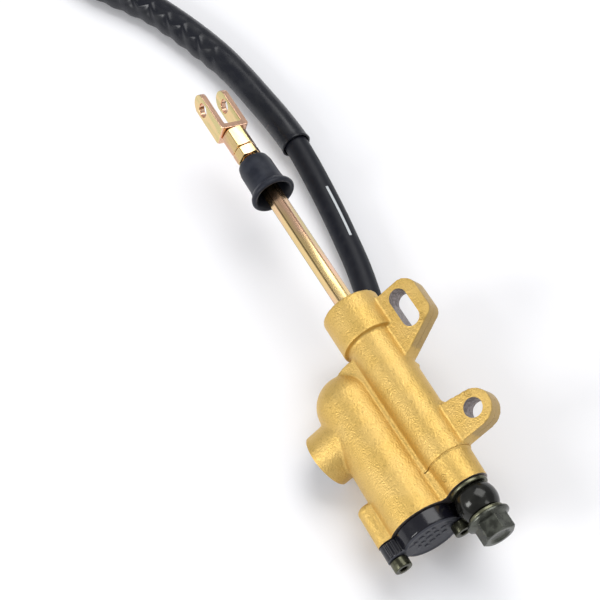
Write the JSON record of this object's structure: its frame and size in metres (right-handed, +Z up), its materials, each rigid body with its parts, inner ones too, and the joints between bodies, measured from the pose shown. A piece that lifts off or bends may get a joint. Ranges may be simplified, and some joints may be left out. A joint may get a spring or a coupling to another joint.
{
  "type": "brake master cylinder",
  "caption": "Rear brake master cylinder: cast body with lugs and built-in fluid reservoir, sprung piston, hex pushrod with clevis and dust boot, banjo outlet and flexible hose.",
  "frame": {"origin": "centre of the bounding box's base, measured without the hose and what is on it; the cylinder lies on its sight glass boss, on the hose's first ferrule and on the hose's far end", "axes": "+X along the bore from the clevis to the outlet, +Z up; the mounting lugs stand towards +Y and 30 degrees up"},
  "size_m": [0.4456, 0.1378, 0.0474],
  "materials": {
    "cylinder_body": "satin gold, fine cast grain",
    "sight_glass": "clear, polished",
    "sight_glass_seal": "matt black",
    "reservoir_cap": "gloss black side, matt face",
    "diaphragm": "matt black",
    "cap_screw_left": "dark olive zinc",
    "cap_screw_right": "dark olive zinc",
    "piston": "turned, bright",
    "primary_cup": "matt black",
    "secondary_cup": "matt black",
    "spring_seat": "bright",
    "return_spring": "bright wire",
    "stop_washer": "yellow zinc plate",
    "circlip": "black oxide",
    "pushrod": "yellow zinc plate",
    "lock_nut": "yellow zinc plate",
    "clevis_coupling": "yellow zinc plate",
    "clevis_yoke": "yellow zinc plate",
    "dust_boot": "satin black",
    "banjo_bolt": "dark olive zinc",
    "crush_washer_inner": "olive",
    "crush_washer_outer": "olive",
    "banjo_fitting": "gloss black plate",
    "hose_ferrule": "dark zinc",
    "brake_hose": "matt black, white dash",
    "hose_sleeve": "gloss black, wrinkled",
    "end_ferrule": "dark zinc",
    "end_banjo": "gloss black plate"
  },
  "bodies": {
    "housing": {"cylinder_body": "cylinder_body", "sight_glass": "sight_glass", "sight_glass_seal": "sight_glass_seal", "reservoir_cap": "reservoir_cap", "diaphragm": "diaphragm", "cap_screw_left": "cap_screw_left", "cap_screw_right": "cap_screw_right", "return_spring": "return_spring", "stop_washer": "stop_washer", "circlip": "circlip", "banjo_bolt": "banjo_bolt", "crush_washer_inner": "crush_washer_inner", "crush_washer_outer": "crush_washer_outer", "banjo_fitting": "banjo_fitting", "hose_ferrule": "hose_ferrule", "brake_hose": "brake_hose", "hose_sleeve": "hose_sleeve", "end_ferrule": "end_ferrule", "end_banjo": "end_banjo"},
    "piston_set": {"piston": "piston", "primary_cup": "primary_cup", "secondary_cup": "secondary_cup", "spring_seat": "spring_seat"},
    "pushrod_set": {"pushrod": "pushrod", "lock_nut": "lock_nut"},
    "clevis": {"clevis_coupling": "clevis_coupling", "clevis_yoke": "clevis_yoke"},
    "boot": {"dust_boot": "dust_boot"}
  },
  "joints": [
    {"name": "piston_slide", "type": "slide", "parent": "housing", "child": "piston_set", "axis": [1, 0, 0], "range_m": [0, 0.011], "stiffness_N_per_m": 1500, "springref_m": -0.01, "deforming": ["return_spring"]},
    {"name": "pushrod_tilt", "type": "hinge", "parent": "piston_set", "child": "pushrod_set", "pos_m": [0.0203, 0.00718, 0.03067], "axis": [0, 0.9336, -0.3584], "range_deg": [-2.5, 2.5]},
    {"name": "clevis_turn", "type": "hinge", "parent": "pushrod_set", "child": "clevis", "pos_m": [-0.0937, 0.00718, 0.03067], "axis": [1, 0, 0], "range_deg": [-180, 180]},
    {"name": "boot_slide", "type": "slide", "parent": "pushrod_set", "child": "boot", "axis": [1, 0, 0], "range_m": [0, 0.051]}
  ]
}
